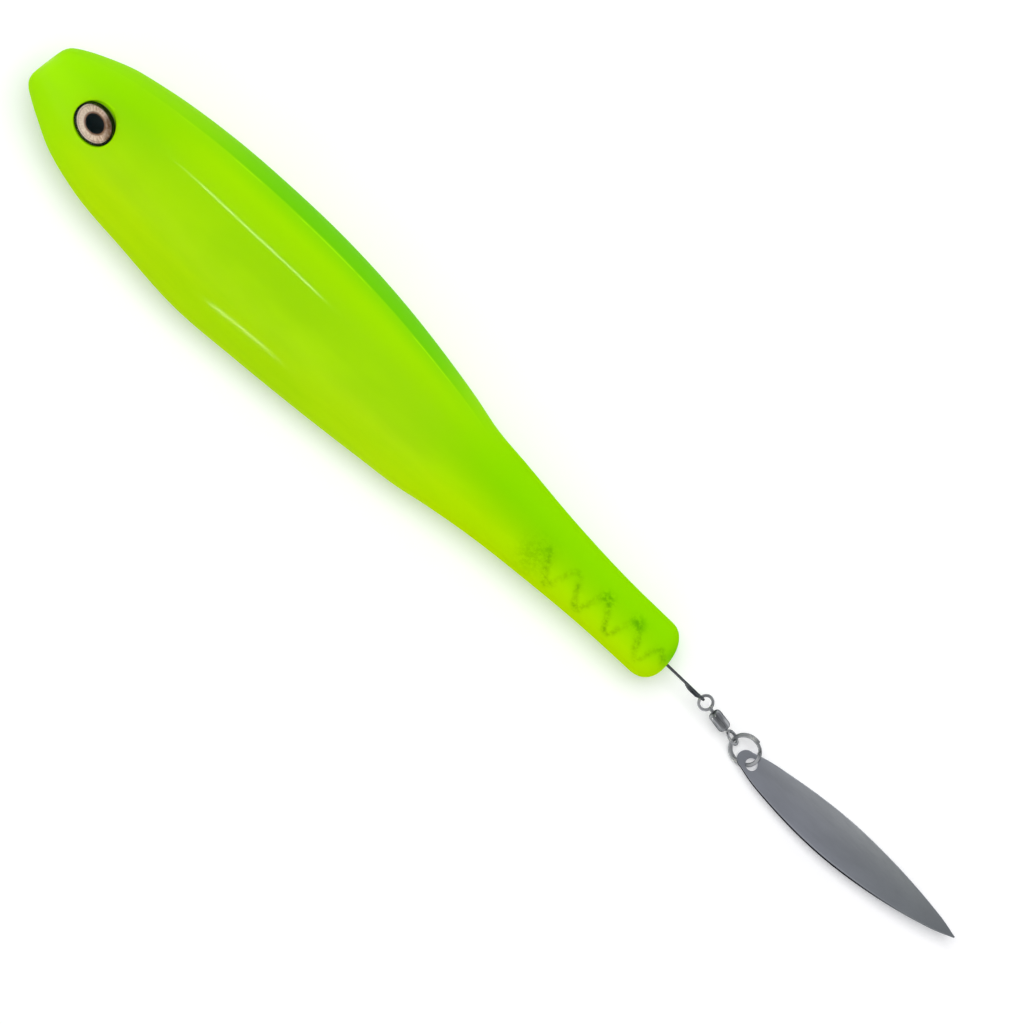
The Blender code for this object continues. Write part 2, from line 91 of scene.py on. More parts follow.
# Soft body: x from the nose, back height, belly depth, half width, wedge, in millimetres.
BODY_STATIONS = (
    (0.4, 5.9, 3.5, 3.6, 0.15),
    (1.5, 6.9, 4.9, 4.6, 0.22),
    (4, 8.4, 6.7, 5.8, 0.32),
    (8, 10.2, 9.1, 7.0, 0.38),
    (13, 12.0, 11.9, 8.1, 0.42),
    (21.5, 14.0, 14.5, 9.4, 0.42),
    (38, 16.3, 16.5, 11.0, 0.42),
    (54, 17.2, 17.8, 11.5, 0.40),
    (70, 17.2, 16.9, 11.5, 0.40),
    (87, 16.0, 15.5, 10.8, 0.36),
    (103, 13.7, 13.8, 9.7, 0.30),
    (111.5, 12.1, 12.8, 9.1, 0.25),
    (119, 10.4, 11.3, 8.5, 0.20),
    (128, 9.4, 9.8, 8.0, 0.14),
    (144, 7.6, 8.1, 7.3, 0.06),
    (160, 6.6, 7.0, 6.8, 0),
    (173.5, 6.5, 6.7, 6.6, 0),
)
BODY_LENGTH = 177.3 * MM
TAIL_DOME = 5.2 * MM
TAIL_FLAT = 0.1  # share of the tail's size that the dome ends in
TAIL_SQUARE = 0.86  # below 1 the tail's end is squarer than a dome
TAIL_LEAN = 0.1  # the tail's end is cut back by this share of its height
NOSE_LEAN = 0.162  # and the nose by this share
NOSE_LEAN_END = 15 * MM
NOSE_ROUND = 0.9 * MM
BODY_SIDES = 132
HEAD_STEP = 1.0 * MM  # between rings, ahead of the corkscrew
TAIL_STEP = 0.4 * MM
TAIL_FROM = 132 * MM

# Eyes: heights are from the skin, out along the eye's own z.
EYE_RADIUS = 4.75 * MM
EYE_X = 16.1 * MM
EYE_Y = 0.7 * MM
EYE_TILT = math.radians(24)
EYE_TOE_IN = math.radians(9)
SOCKET_GAP = 0.1 * MM
SOCKET_DEPTH = 1.8 * MM
SOCKET_CUT = 8 * MM  # how far out the socket's cutter reaches
FOIL_LOW = -0.9 * MM
FOIL_HIGH = -0.7 * MM
DOME_LOW = -0.4 * MM
DOME_EDGE = 0.45 * MM
DOME_RISE = 1.5 * MM
FOIL_LIP = 0.05 * MM
DOME_LIP = 0.1 * MM

# Tail wire.
WIRE_RADIUS = 0.3 * MM
EXIT_Y = -0.6 * MM
COIL_RADIUS = 3.35 * MM
COIL_PITCH = 7.98 * MM
COIL_TURNS = 4.1
COIL_RUNOUT_TURNS = 0.45
COIL_END = 1.2 * MM
COIL_PHASE = math.radians(35)
COIL_TILT = math.radians(5)
COIL_POINTS_PER_TURN = 48
LOOP_RADIUS = 1.05 * MM
LOOP_CENTRE = 9.3 * MM
LOOP_WRAP = math.radians(120)
LOOP_STEPS = 32
TAG_LENGTH = 1.5 * MM  # the wire's end, doubled back along its shank
TAG_OFFSET = 0.46 * MM
TAG_TUCK = 0.65  # share of the offset that the very end loses

# What the buried wire shows through the skin, and painted shade on the tail's end.
COIL_SHADE_SHARE = 0.86  # of the wire's own radius, where its blurred shade shows
COIL_BLUR = 0.7 * MM
HAZE_DEPTH = 11 * MM
BLOT_SIZE = np.array((1.7, 1.4, 10)) * MM
BLOT_FROM = 1.5 * MM  # turns that rise less than this towards the back make no blot
HAZE_SHIFT = (-1.2 * MM, -2.2 * MM, 0)
FRONT_HAZE = (3.6 * MM, 3.6 * MM)
# Painted shade along the back's half of the tail's end, by the wire's exit: its place from the wire's
# end, and its size along x and y.
TAIL_SHADE_SHIFT = (1.0 * MM, 2.6 * MM, 0)
TAIL_SHADE_SIZE = (1.3 * MM, 2.6 * MM)

# Swivel.
RING_WIRE = 0.32 * MM
RING_RADIUS = 1.5 * MM
RING_HANG = 0.8 * MM
BARREL_FRONT = 2.66 * MM
BARREL_LENGTH = 4.4 * MM
BARREL_RADIUS = 1.38 * MM
BARREL_WALL = 0.55 * MM
STEM_RADIUS = 0.35 * MM
STEM_REACH = 1.6 * MM  # into the barrel
REAR_RING = 9.46 * MM

# Split ring.
SPLIT_RADIUS = 3.22 * MM
SPLIT_WIRE = 0.27 * MM
SPLIT_PITCH = 0.62 * MM
SPLIT_TURNS = 1.9
SPLIT_POINTS = 160
SPLIT_START = math.radians(75)
SPLIT_HANG = 0.45 * MM
SPLIT_FLAT = 1.4
SPLIT_SPREAD = 0.04 * MM  # the flattened wire stands out by this much, so that it keeps its inside size

# Blade.
BLADE_THICK = 0.4 * MM
BLADE_LIP = 0.12 * MM
BLADE_END_RADIUS = 2.0 * MM
BLADE_HOLE = 1.35 * MM
BLADE_HOLE_FROM_END = 3.5 * MM
BLADE_BOW_RADIUS = 180 * MM
BLADE_CUP_RADIUS = 17 * MM
BLADE_LOWEST = 15.8 * MM
BLADE_SLACK = 0.1 * MM
BLADE_YAW = math.radians(2.3)
BLADE_ROLL = math.radians(-15)
BLADE_OUTLINE = (  # distance from the blunt end and half width, in millimetres
    (2.0, 2.0),
    (5.3, 2.9),
    (11.6, 3.9),
    (17.4, 4.55),
    (26, 4.95),
    (36, 4.45),
    (44, 3.46),
    (50.3, 2.3),
    (54.5, 1.3),
    (58, 0.12),
)

# Camera, straight above the lure, which the lamps face too.
VIEW_TURN = math.radians(43.67)  # the view's right-hand side, round from +X
FIELD = 209.5 * MM  # width of the view at the lure
LENS = 600.0
SENSOR = 36.0
AIM = Vector((3.54, 0.17, 7)) * MM

# Shading.
CRISP = 50  # degrees; a sharper corner is shaded as an edge
DARK_EDGE = (0.02, 0.02, 0.02, 1)  # near-black tint of what the metal mirrors at a glancing angle: painted shade along the edges of the wire, swivel, barrel and ring
WARM = (1.0, 0.97, 0.8)


# Mesh helpers


def smooth(xs, ys, at):
    """Cubic curve through a table's points, read at each position in at."""
    slopes = np.gradient(ys, xs)
    i = np.clip(np.searchsorted(xs, at) - 1, 0, len(xs) - 2)
    span = xs[i + 1] - xs[i]
    t = (at - xs[i]) / span
    start = (1 + 2 * t) * (1 - t) ** 2 * ys[i] + t * (1 - t) ** 2 * span * slopes[i]
    end = t**2 * (3 - 2 * t) * ys[i + 1] - t**2 * (1 - t) * span * slopes[i + 1]
    return start + end


def offset(x, y=0.0, z=0.0):
    return Matrix.Translation((x, y, z))


def turn(angle, axis):
    return Matrix.Rotation(angle, 4, axis)


def frame_at(origin, x_axis, z_axis):
    """A frame at a point, from its x axis and a direction that its z axis comes close to."""
    x = Vector(x_axis).normalized()
    y = Vector(z_axis).cross(x).normalized()
    made = Matrix((x, y, x.cross(y))).transposed().to_4x4()
    made.translation = origin
    return made


def moved(points, frame):
    """Points as an array, taken through a frame."""
    matrix = np.array(frame)
    return np.asarray(points, float) @ matrix[:3, :3].T + matrix[:3, 3]


def keep(mesh, name, values, kind="FLOAT"):
    """Stores values on a mesh's points, one or three for each."""
    attribute = mesh.attributes.new(name, kind, "POINT")
    field = "vector" if kind == "FLOAT_VECTOR" else "value"
    attribute.data.foreach_set(field, np.asarray(values, np.float32).ravel())


def piece(name, points, faces, frame, material, sharp=None):
    """A mesh object in the row frame, made from points in its own frame."""
    mesh = bpy.data.meshes.new(name)
    mesh.from_pydata([tuple(p) for p in moved(points, frame)], [], faces)
    keep(mesh, "spot", np.asarray(points, float) / MM, "FLOAT_VECTOR")
    mesh.materials.append(material)
    shape = bmesh.new()
    shape.from_mesh(mesh)
    bmesh.ops.recalc_face_normals(shape, faces=shape.faces)
    shape.to_mesh(mesh)
    shape.free()
    mesh.shade_smooth()
    if sharp:
        mesh.set_sharp_from_angle(angle=math.radians(sharp))
    obj = bpy.data.objects.new(name, mesh)
    bpy.context.scene.collection.objects.link(obj)
    return obj


def loft_faces(count, sides, closed=False, caps=True):
    """Faces of a skin through count rings of that many sides."""
    faces = []
    for k in range(count if closed else count - 1):
        this, following = k * sides, (k + 1) % count * sides
        for i in range(sides):
            j = (i + 1) % sides
            faces.append((this + i, this + j, following + j, following + i))
    if caps and not closed:
        faces.append(tuple(range(sides))[::-1])
        faces.append(tuple(range((count - 1) * sides, count * sides)))
    return faces


def lofted(name, rings, frame, material, closed=False, sharp=None):
    """A skin through rings of points, with capped ends unless it is closed."""
    faces = loft_faces(len(rings), len(rings[0]), closed)
    return piece(name, np.vstack(rings), faces, frame, material, sharp)


def turned(name, profile, frame, material, segments=64, sharp=35):
    """A closed outline of (radius, height) points turned about z, which may start and end on z."""
    angles = np.linspace(0, 2 * math.pi, segments, endpoint=False)
    circle = np.column_stack((np.cos(angles), np.sin(angles), 0 * angles))
    rings = [r * circle + (0, 0, h) for r, h in profile if r > 0]
    poles = [(0, 0, h) for r, h in profile if r == 0]
    if not poles:
        return lofted(name, rings, frame, material, closed=True, sharp=sharp)
    faces = loft_faces(len(rings), segments, caps=False)
    first = len(rings) * segments
    top = first - segments
    for i in range(segments):
        j = (i + 1) % segments
        faces += [(first, j, i), (first + 1, top + i, top + j)]
    return piece(name, np.vstack(rings + [poles]), faces, frame, material, sharp)


def wire(name, line, radius, frame, material, closed=False, sides=20, flat=1.0):
    """A wire along a line of points, with rounded ends unless it is closed.

    Its section is stretched square to z by the factor flat.
    """
    line = np.asarray(line, float)
    count = len(line)
    if closed:
        ways = np.roll(line, -1, axis=0) - np.roll(line, 1, axis=0)
    else:
        ways = np.gradient(line, axis=0)
    ways /= np.linalg.norm(ways, axis=1)[:, None]
    side = np.cross(ways[0], (0.3, 0.2, 0.93))
    angles = np.linspace(0, 2 * math.pi, sides, endpoint=False)
    sections = [(line[k], ways[k], radius) for k in range(count)]
    if not closed:
        for angle in np.radians((20, 40, 60, 80)):
            out, size = radius * math.sin(angle), radius * math.cos(angle)
            sections.insert(0, (line[0] - ways[0] * out, ways[0], size))
            sections.append((line[-1] + ways[-1] * out, ways[-1], size))
    rings = []
    for centre, way, size in sections:
        side = side - way * (side @ way)
        side /= np.linalg.norm(side)
        other = np.cross(way, side)
        around = size * (np.outer(np.cos(angles), side) + np.outer(np.sin(angles), other))
        rings.append(centre + around * (flat, flat, 1))
    return lofted(name, rings, frame, material, closed=closed)


def cut(obj, cutter):
    """Takes the cutter's shape out of a mesh object, and leaves the cut with crisp edges."""
    modifier = obj.modifiers.new("cut", "BOOLEAN")
    modifier.operation = "DIFFERENCE"
    modifier.solver = "EXACT"
    modifier.object = cutter
    graph = bpy.context.evaluated_depsgraph_get()
    mesh = bpy.data.meshes.new_from_object(obj.evaluated_get(graph))
    obj.modifiers.clear()
    obj.data = mesh
    mesh.set_sharp_from_angle(angle=math.radians(CRISP))
    bpy.data.objects.remove(cutter)


def joined(name, objs):
    """Several objects as one."""
    with bpy.context.temp_override(
        active_object=objs[0], selected_editable_objects=objs, selected_objects=objs
    ):
        bpy.ops.object.join()
    objs[0].name = name
    return objs[0]


def rebuild(obj, body, node):
    """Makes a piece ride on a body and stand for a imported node."""
    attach(obj, body)
    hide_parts(node)


# Material helpers


class Shader:
    """A new material's nodes, and short ways to add to them."""

    def __init__(self, name):
        self.material = bpy.data.materials.new(name)
        self.material.use_nodes = True
        self.tree = self.material.node_tree
        self.main = self.tree.nodes["Principled BSDF"]

    def set(self, **values):
        for name, value in values.items():
            socket = self.main.inputs[name.replace("_", " ")]
            if hasattr(value, "is_output"):
                self.tree.links.new(value, socket)
            else:
                socket.default_value = value

    def node(self, kind, **settings):
        made = self.tree.nodes.new("ShaderNode" + kind)
        for name, value in settings.items():
            setattr(made, name, value)
        return made

    def feed(self, node, inputs):
        for name, value in inputs.items():
            if hasattr(value, "is_output"):
                self.tree.links.new(value, node.inputs[name])
            else:
                node.inputs[name].default_value = value

    def read(self, name, output="Fac"):
        return self.node("Attribute", attribute_name=name).outputs[output]

    def spot(self):
        return self.read("spot", "Vector")

    def axis(self, vector, name):
        split = self.node("SeparateXYZ")
        self.feed(split, {0: vector})
        return split.outputs[name]

    def scaled(self, vector, scale):
        made = self.node("VectorMath", operation="MULTIPLY")
        self.feed(made, {0: vector, 1: scale})
        return made.outputs[0]

    def noise(self, vector, scale, detail=3.0, roughness=0.5, distortion=0.0):
        made = self.node("TexNoise")
        shape = {"Scale": scale, "Detail": detail, "Roughness": roughness, "Distortion": distortion}
        self.feed(made, {"Vector": vector, **shape})
        return made.outputs["Fac"]

    def math(self, operation, a, b=0.0, clamp=False):
        made = self.node("Math", operation=operation, use_clamp=clamp)
        self.feed(made, {0: a, 1: b})
        return made.outputs[0]

    def ramp(self, value, low, high, to_low=0.0, to_high=1.0):
        made = self.node("MapRange", interpolation_type="SMOOTHSTEP")
        ends = {"From Min": low, "From Max": high, "To Min": to_low, "To Max": to_high}
        self.feed(made, {"Value": value, **ends})
        return made.outputs["Result"]

    def mix(self, share, a, b):
        made = self.node("Mix", data_type="RGBA")
        self.feed(made, {0: share, 6: a, 7: b})
        return made.outputs[2]

    def band(self, value, centre, outer, inner):
        """1 where the value is within inner of the centre, falling to 0 at outer."""
        return self.ramp(self.math("ABSOLUTE", self.math("SUBTRACT", value, centre)), outer, inner)

    def bump(self, height, strength, distance):
        made = self.node("Bump")
        self.feed(made, {"Height": height, "Strength": strength, "Distance": distance})
        self.tree.links.new(made.outputs[0], self.main.inputs["Normal"])


def linear(red, green, blue):
    """A colour on the screen's scale of 0 to 255, as the shader wants it."""
    values = [c / 255 for c in (red, green, blue)]
    return (*[c / 12.92 if c <= 0.04045 else ((c + 0.055) / 1.055) ** 2.4 for c in values], 1)


# Soft body


def body_size(x):
    """Back height, belly depth, half width and wedge at a distance from the nose."""
    table = np.array(BODY_STATIONS)
    back, belly, half_width, wedge = (smooth(table[:, 0] * MM, table[:, k], x) for k in range(1, 5))
    return back * MM, belly * MM, half_width * MM, wedge


def body_ring(x, share=1.0, shift=0.0, tail_lean=0.0):
    """A ring round the body at x, shrunk to a share of its size and moved along by shift."""
    back, belly, half_width, wedge = body_size(x)
    angles = np.linspace(0, 2 * math.pi, BODY_SIDES, endpoint=False)
    y = (back - belly) / 2 + share * (back + belly) / 2 * np.sin(angles)
    z = share * half_width * np.cos(angles) * (1 + wedge * np.sin(angles))
    lean = NOSE_LEAN * max(0.0, 1 - x / NOSE_LEAN_END) - tail_lean
    return np.column_stack((x + shift + lean * y, y, z))


def body_rings():
    """Rings from the nose's flat face over its rounded edge, along the body and over the tail's dome."""
    first = BODY_STATIONS[0][0] * MM
    dome_start = BODY_LENGTH - TAIL_DOME
    smaller = NOSE_ROUND / (BODY_STATIONS[0][3] * MM)
    rings = [body_ring(first, share) for share in np.linspace(0.02, 1 - smaller, 12)]
    for angle in np.linspace(0, math.pi / 2, 6)[1:-1]:
        share = 1 - smaller * (1 - math.sin(angle))
        rings.append(body_ring(first + NOSE_ROUND * (1 - math.cos(angle)), share))
    head = np.arange(first + NOSE_ROUND, TAIL_FROM, HEAD_STEP)
    tail = np.arange(head[-1] + TAIL_STEP, dome_start, TAIL_STEP)
    rings += [body_ring(x) for x in (*head, *tail, dome_start)]
    for angle in np.linspace(0, math.pi / 2, 19)[1:]:
        share = max(TAIL_FLAT, math.cos(angle) ** TAIL_SQUARE)
        bulge = math.sin(angle) ** TAIL_SQUARE
        rings.append(body_ring(dome_start, share, TAIL_DOME * bulge, TAIL_LEAN * bulge))
    for share in np.linspace(TAIL_FLAT, 0.01, 3)[1:]:
        rings.append(body_ring(dome_start, share, TAIL_DOME, TAIL_LEAN))
    return rings


def body_frame():
    """The body's frame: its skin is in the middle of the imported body's box and as high as its top."""
    frame = turn(REST_PITCH, "Y") @ turn(REST_ROLL, "X")
    skin = moved(np.vstack(body_rings()), frame)
    low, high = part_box("soft_body")
    skin_low, skin_high = skin.min(axis=0), skin.max(axis=0)
    middle = (Vector(low) + Vector(high)) / 2 - Vector((skin_low + skin_high) / 2)
    middle.z = high.z - skin_high[2]
    return Matrix.Translation(middle) @ frame


def shade_of_coil(points, coil):
    """How dark the buried wire makes each skin point: it is seen straight down through the skin."""
    shade = np.zeros(len(points))
    for start in range(0, len(points), 2000):
        some = points[start : start + 2000, None, :]
        apart = np.linalg.norm(some[..., :2] - coil[None, :, :2], axis=2)
        depth = np.abs(some[..., 2] - coil[None, :, 2])
        seen = np.exp(-((apart / COIL_BLUR) ** 2)) * np.exp(-depth / HAZE_DEPTH)
        shade[start : start + 2000] = seen.max(axis=1)
    return shade


def blots_of_coil(points, coil, frame):
    """Cloudy spots over the turns' crests on the back's side, where the wire is nearest to the skin."""
    local = moved(coil, frame.inverted())
    middle = local[1:-1, 1]
    crest = (middle > local[:-2, 1]) & (middle > local[2:, 1]) & (middle > BLOT_FROM)
    blots = np.zeros(len(points))
    for tip in coil[1:-1][crest]:
        apart = np.linalg.norm((points - tip) / BLOT_SIZE, axis=1)
        blots = np.maximum(blots, np.exp(-(apart**2)))
    return blots


def haze_and_shade_at(points, place, size):
    """How deep each point is in a soft spot, used for the cloudy haze in the plastic and for painted
    shade on the tail's end; size is the spot's along x and y.
    """
    apart = (points - np.array(place)) / np.array((*size, HAZE_DEPTH))
    return np.exp(-np.sum(apart**2, axis=1))


def make_body(frame, coil, table, material):
    """The body's skin, pressed flat on the table, with what its material has to know at each point."""
    rings = body_rings()
    local = np.vstack(rings)
    body = piece("lure_skin", local, loft_faces(len(rings), BODY_SIDES), frame, material)
    mesh = body.data
    world = moved(local, frame)
    world[:, 2] = np.maximum(world[:, 2], table)
    mesh.vertices.foreach_set("co", world.astype(np.float32).ravel())

    # degrees round from the ridge of the back
    around = np.tile(np.linspace(0, 360, BODY_SIDES, endpoint=False), len(rings))
    keep(mesh, "off_ridge", np.abs((around - 90 + 180) % 360 - 180))
    keep(mesh, "coil", shade_of_coil(world, coil))
    keep(mesh, "blots", blots_of_coil(world, coil, SHANK))
    keep(mesh, "haze", haze_and_shade_at(world, coil[0] + HAZE_SHIFT, FRONT_HAZE))
    # painted shade along the back's half of the tail's end
    keep(mesh, "tail_end_shade", haze_and_shade_at(world, coil[-1] + TAIL_SHADE_SHIFT, TAIL_SHADE_SIZE))
    return body


def cut_socket(body, frame):
    """Cuts the eye's round socket from the body."""
    radius = EYE_RADIUS + SOCKET_GAP
    profile = ((0, -SOCKET_DEPTH), (radius, -SOCKET_DEPTH), (radius, SOCKET_CUT), (0, SOCKET_CUT))
    cut(body, turned("socket_cutter", profile, frame, body.data.materials[0], 96))


def plastic_material():
    """Glossy poured plastic: yellow-green belly, greener back stripe with a painted highlight along its
    border, clouds, the buried wire and painted shade on the tail's end.
    """
    s = Shader("chartreuse_soft_plastic")
    spot = s.spot()
    x, y = s.axis(spot, "X"), s.axis(spot, "Y")
    clouds = s.noise(s.scaled(spot, (0.02, 0.05, 0.05)), 1.6, 3, 0.5)
    streaks = s.noise(s.scaled(spot, (0.02, 0.16, 0.16)), 1.0, 4, 0.6, 0.4)
    specks = s.noise(spot, 0.9, 5, 0.75)

    # flank and belly, then the nose and the crown behind it
    side, belly, back = linear(174, 231, 0), linear(188, 234, 0), linear(102, 197, 0)
    nose, tail_top = linear(164, 239, 0), linear(136, 213, 0)
    colour = s.mix(s.ramp(y, -3, 9), side, linear(160, 220, 0))
    colour = s.mix(s.ramp(clouds, 0.35, 0.68, 0, 0.7), colour, linear(155, 216, 0))
    low = s.math("MULTIPLY", s.ramp(y, 3, -9), s.ramp(x, 20, 70, 1.0, 0.55))
    low = s.math("ADD", low, s.math("MULTIPLY", s.ramp(y, 1, -5), s.ramp(x, 80, 105, 0, 0.4)), True)
    colour = s.mix(s.math("MULTIPLY", low, s.ramp(streaks, 0.3, 0.7, 0.5, 1.0)), colour, belly)
    colour = s.mix(s.ramp(x, 30, 2, 0, 0.9), colour, nose)
    crown = s.math("MULTIPLY", s.ramp(y, 1, 9), s.ramp(x, 40, 20))
    colour = s.mix(s.math("MULTIPLY", crown, 0.55), colour, linear(134, 211, 0))

    # back stripe, the glow beside it and a broken painted highlight along its border, then the tail
    ridge = s.read("off_ridge")
    border = s.math("ADD", ridge, s.math("MULTIPLY", streaks, 2.0))
    ends = s.math("MULTIPLY", s.ramp(x, 14, 60, 0.1, 1), s.ramp(x, 124, 92))
    glow = s.math("MULTIPLY", s.ramp(border, 42, 24), s.math("MULTIPLY", ends, 0.75))
    colour = s.mix(glow, colour, linear(128, 210, 0))
    stripe = s.math("MULTIPLY", s.ramp(border, 24, 21.5), s.math("MULTIPLY", ends, 0.9))
    colour = s.mix(stripe, colour, back)
    # painted highlight: a broken light line along the stripe's border, where a lamp would glint on it
    broken = s.ramp(s.noise(s.scaled(spot, (0.12, 0.02, 0.02)), 1.0, 2, 0.5), 0.42, 0.56)
    painted_border_highlight = s.math("MULTIPLY", s.band(border, 24.3, 1.1, 0.2), s.math("MULTIPLY", ends, broken))
    colour = s.mix(s.math("MULTIPLY", painted_border_highlight, 0.6), colour, linear(166, 236, 10))
    tail = s.math("MULTIPLY", s.ramp(y, -3, 5), s.ramp(x, 100, 130, 0, 0.9))
    colour = s.mix(tail, colour, tail_top)

    # the buried wire, and painted shade on the tail's end
    patches = s.ramp(s.noise(spot, 0.42, 2, 0.5), 0.4, 0.6)
    coil = s.math("MULTIPLY", s.read("coil"), s.ramp(specks, 0.36, 0.6, 0.2, 1.0))
    coil = s.math("MULTIPLY", coil, s.math("ADD", s.math("MULTIPLY", patches, 0.5), 0.5))
    blots = s.math("MULTIPLY", s.read("blots"), s.ramp(specks, 0.4, 0.58, 0.1, 1.0))
    haze = s.math("MULTIPLY", s.read("haze"), s.ramp(specks, 0.38, 0.6, 0.3, 1.0))
    dim = s.math("MAXIMUM", s.math("MULTIPLY", haze, 0.75), s.math("MULTIPLY", blots, 0.95))
    # painted shade: darker green along the back's half of the tail's end, over where the wire leaves it
    colour = s.mix(s.math("MULTIPLY", s.read("tail_end_shade"), 0.7), colour, linear(84, 190, 0))
    colour = s.mix(dim, colour, linear(84, 170, 0))
    colour = s.mix(coil, colour, linear(76, 150, 6))

    gloss = s.math("MINIMUM", s.ramp(ridge, 40, 62, 0.08, 0.24), s.ramp(ridge, 125, 98, 0.07, 0.24))
    s.set(
        Base_Color=colour,
        Roughness=s.ramp(streaks, 0.3, 0.7, 0.3, 0.4),
        Subsurface_Weight=0.3,
        Subsurface_Scale=0.002,
        Subsurface_Radius=(0.8, 1.0, 0.1),
        Specular_IOR_Level=0.0,
        Coat_Weight=s.math("MULTIPLY", gloss, s.ramp(x, 128, 104, 0.1, 1.0)),
        Coat_Roughness=0.08,
        Coat_IOR=1.45,
    )
    s.bump(s.noise(s.scaled(spot, (0.05, 0.2, 0.2)), 1.0, 2, 0.5), 0.08, 0.0003)
    return s.material


# Eyes


def eye_frame(side, body):
    """The eye's frame on the skin, with z out of it. Side is 1 on the left and -1 on the right."""
    back, belly, half_width, wedge = body_size(EYE_X)
    rise = math.asin((EYE_Y - (back - belly) / 2) / ((back + belly) / 2))
    lean = NOSE_LEAN * max(0.0, 1 - EYE_X / NOSE_LEAN_END)
    across = half_width * math.cos(rise) * (1 + wedge * math.sin(rise))
    toe, tilt = EYE_TOE_IN, EYE_TILT
    level = math.cos(toe)
    out = Vector((-math.sin(toe), -math.sin(tilt) * level, side * math.cos(tilt) * level))
    place = (EYE_X + lean * EYE_Y, EYE_Y, side * across)
    return body @ frame_at(place, out.cross((0, side, 0)), out)


def iris_material():
    """Printed foil: black pupil with a brown ring, cream to brown streaked iris, and a dark outer rim,
    printed all round and widened with painted shade on its rear side.
    """
    s = Shader("eye_print")
    spot = s.spot()
    x, y = s.axis(spot, "X"), s.axis(spot, "Y")
    radius = s.math("SQRT", s.math("ADD", s.math("MULTIPLY", x, x), s.math("MULTIPLY", y, y)))
    angle = s.math("ARCTAN2", y, x)
    fan = s.node("CombineXYZ")
    s.feed(fan, {"X": s.math("SINE", angle), "Y": s.math("COSINE", angle)})
    s.feed(fan, {"Z": s.math("MULTIPLY", radius, 0.12)})
    rays = s.noise(fan.outputs[0], 9, 4, 0.65)
    patches = s.noise(spot, 0.45, 3, 0.6)
    colour = s.mix(s.ramp(rays, 0.35, 0.65), linear(196, 164, 132), linear(246, 226, 202))
    rear = s.math("ADD", s.math("MULTIPLY", x, -0.8), s.math("MULTIPLY", y, -0.6))
    colour = s.mix(s.ramp(rear, 1.5, -3.5, 0, 0.55), colour, linear(250, 236, 216))
    brown = s.math("MULTIPLY", s.ramp(rear, 1.4, 3.4), s.ramp(patches, 0.36, 0.55, 0.7, 1.0))
    colour = s.mix(brown, colour, linear(104, 66, 30))
    ring = s.math("MULTIPLY", s.band(radius, 2.3, 0.45, 0.05), 0.85)
    colour = s.mix(ring, colour, linear(124, 80, 50))
    colour = s.mix(s.ramp(radius, 2.3, 2.05), colour, linear(1, 10, 12))
    thin = s.math("MULTIPLY", s.band(radius, 3.85, 0.2, 0.02), 0.4)
    colour = s.mix(thin, colour, linear(150, 110, 80))
    # the dark outer rim is print, and its widening towards the rear is painted shade
    rim = s.math("SUBTRACT", 4.05, s.math("MULTIPLY", s.ramp(rear, 0, 4), 0.25))
    edge = s.ramp(s.math("SUBTRACT", radius, rim), 0.0, 0.3)
    colour = s.mix(edge, colour, linear(24, 36, 8))
    s.set(Base_Color=colour, Roughness=0.6, Specular_IOR_Level=0.0)
    s.bump(rays, 0.1, 0.0001)
    return s.material


def dome_material():
    """Clear resin, closer to air than glass is, so that the print shows through it undisturbed."""
    s = Shader("clear_dome")
    spot = s.spot()
    wear = s.noise(spot, 0.6, 2, 0.5)
    across = s.node("VectorMath", operation="LENGTH")
    s.feed(across, {0: s.scaled(spot, (1, 1, 0))})
    rim = s.ramp(across.outputs["Value"], 4.4, 4.6)
    s.set(
        Base_Color=s.mix(rim, (1, 1, 1, 1), linear(40, 52, 20)),
        Roughness=s.ramp(wear, 0.3, 0.7, 0.02, 0.06),
        Transmission_Weight=1.0,
        IOR=1.12,
    )
    return s.material


def pad_shade_material():
    """Clear adhesive, showing the green plastic round it, darkened with painted shade of the socket."""
    s = Shader("glue_pad_painted_shade")
    grain = s.noise(s.spot(), 3.0, 4, 0.6)
    # painted shade: the dark green of the shadowed socket round the eye
    s.set(Base_Color=s.mix(grain, linear(84, 120, 10), linear(112, 150, 22)), Roughness=0.85)
    return s.material


def make_eye(side_name, frame, materials):
    """The printed foil, and the clear dome over it."""
    profile = (
        (0, FOIL_LOW),
        (EYE_RADIUS - FOIL_LIP, FOIL_LOW),
        (EYE_RADIUS, FOIL_LOW + FOIL_LIP),
        (EYE_RADIUS, FOIL_HIGH - FOIL_LIP),
        (EYE_RADIUS - FOIL_LIP, FOIL_HIGH),
        (0, FOIL_HIGH),
    )
    foil = turned(f"{side_name}_eye_print", profile, frame, materials["print"], 96)
    rebuild(foil, "lure_body", f"{side_name}_eye_foil")
    sphere = (EYE_RADIUS**2 + DOME_RISE**2) / (2 * DOME_RISE)
    crown = DOME_LOW + DOME_EDGE + DOME_RISE - sphere
    half_angle = math.asin(EYE_RADIUS / sphere)
    outline = [(0, DOME_LOW), (EYE_RADIUS - DOME_LIP, DOME_LOW), (EYE_RADIUS, DOME_LOW + DOME_LIP)]
    for angle in np.linspace(half_angle, 0, 18):
        outline.append((sphere * math.sin(angle), crown + sphere * math.cos(angle)))
    dome = turned(f"{side_name}_eye_lens", outline, frame, materials["dome"], 96, CRISP)
    rebuild(dome, "lure_body", f"{side_name}_eye_dome")


# Wire, swivel, ring and blade


